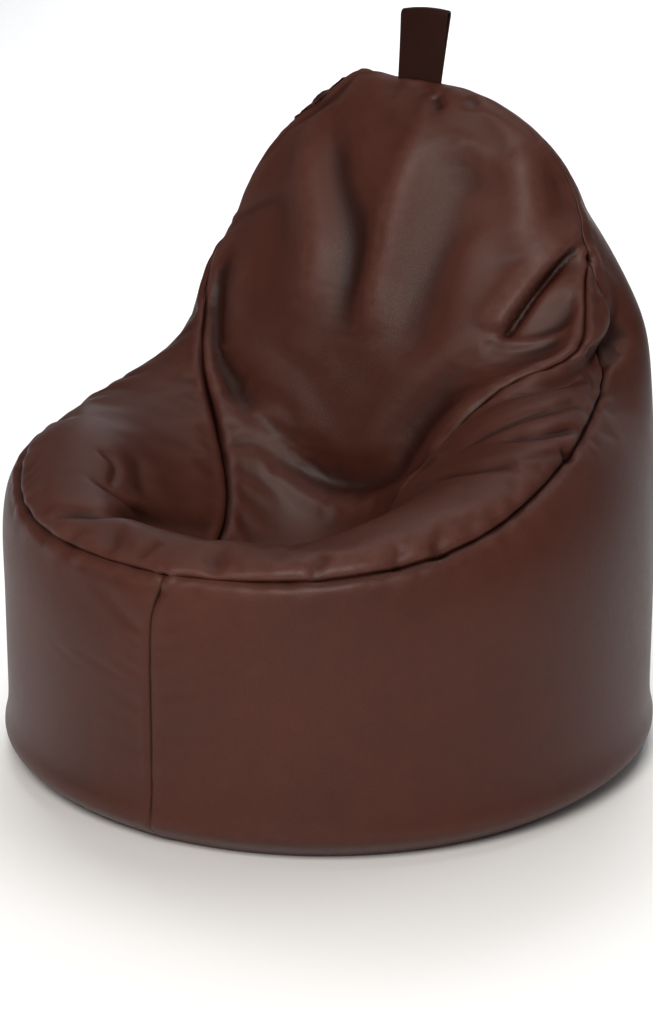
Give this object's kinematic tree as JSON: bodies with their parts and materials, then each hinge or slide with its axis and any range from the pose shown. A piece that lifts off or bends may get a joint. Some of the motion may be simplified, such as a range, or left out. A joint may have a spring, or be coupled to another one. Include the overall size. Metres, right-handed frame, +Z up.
{
  "type": "bean bag chair",
  "caption": "Round leatherette bean bag chair with a hollow seat, low arms, a tall leaf-shaped backrest, a carry loop on top and a zipped cover over a zipped liner bag of beads.",
  "frame": {"origin": "on the floor, under the middle of the drum", "axes": "+Z up, the sitter faces -Y, +X towards the sitter's left hand side of the chair as seen from behind, which is the viewer's right from the front"},
  "size_m": [0.8036, 0.8086, 0.8991],
  "materials": {
    "leatherette": "dark brown faux leather, satin, fine grain",
    "zip_tape": "woven polyester tape",
    "zip_coil": "nylon coil",
    "zip_metal": "plated die-cast metal, satin",
    "liner_cloth": "thin plain-weave cloth",
    "beads": "loose expanded polystyrene beads, as one soft body"
  },
  "bodies": {
    "cover": {"base_panel": "leatherette", "wall_left_panel": "leatherette", "wall_right_panel": "leatherette", "seat_panel": "leatherette", "backrest_panel": "leatherette", "zip_tape_left": "zip_tape", "zip_tape_right": "zip_tape", "zip_teeth_left": "zip_coil", "zip_teeth_right": "zip_coil", "zip_top_stop_left": "zip_metal", "zip_top_stop_right": "zip_metal", "zip_bottom_stop": "zip_metal", "liner_base": "liner_cloth", "liner_wall_left": "liner_cloth", "liner_wall_right": "liner_cloth", "liner_seat": "liner_cloth", "liner_backrest": "liner_cloth", "liner_zip_tape_left": "zip_tape", "liner_zip_tape_right": "zip_tape", "liner_zip_teeth_left": "zip_coil", "liner_zip_teeth_right": "zip_coil", "liner_zip_top_stop_left": "zip_metal", "liner_zip_top_stop_right": "zip_metal", "liner_zip_bottom_stop": "zip_metal", "bead_fill": "beads"},
    "zip_slider": {"zip_slider": "zip_metal"},
    "zip_puller": {"zip_puller": "zip_metal"},
    "liner_zip_slider": {"liner_zip_slider": "zip_metal"},
    "carry_loop": {"handle_loop": "leatherette"}
  },
  "joints": [
    {"name": "zip_slide", "type": "slide", "parent": "cover", "child": "zip_slider", "axis": [0, 0, -1], "range_m": [0, 0.37]},
    {"name": "puller_swing", "type": "hinge", "parent": "zip_slider", "child": "zip_puller", "pos_m": [0, 0.406, 0.4606], "axis": [1, 0, 0], "range_deg": [0, 150]},
    {"name": "liner_zip_slide", "type": "slide", "parent": "cover", "child": "liner_zip_slider", "axis": [0, 0, -1], "range_m": [0, 0.37]},
    {"name": "loop_fold", "type": "hinge", "parent": "cover", "child": "carry_loop", "pos_m": [0, 0.234, 0.816], "axis": [1, 0, 0], "range_deg": [-75, 75]}
  ]
}
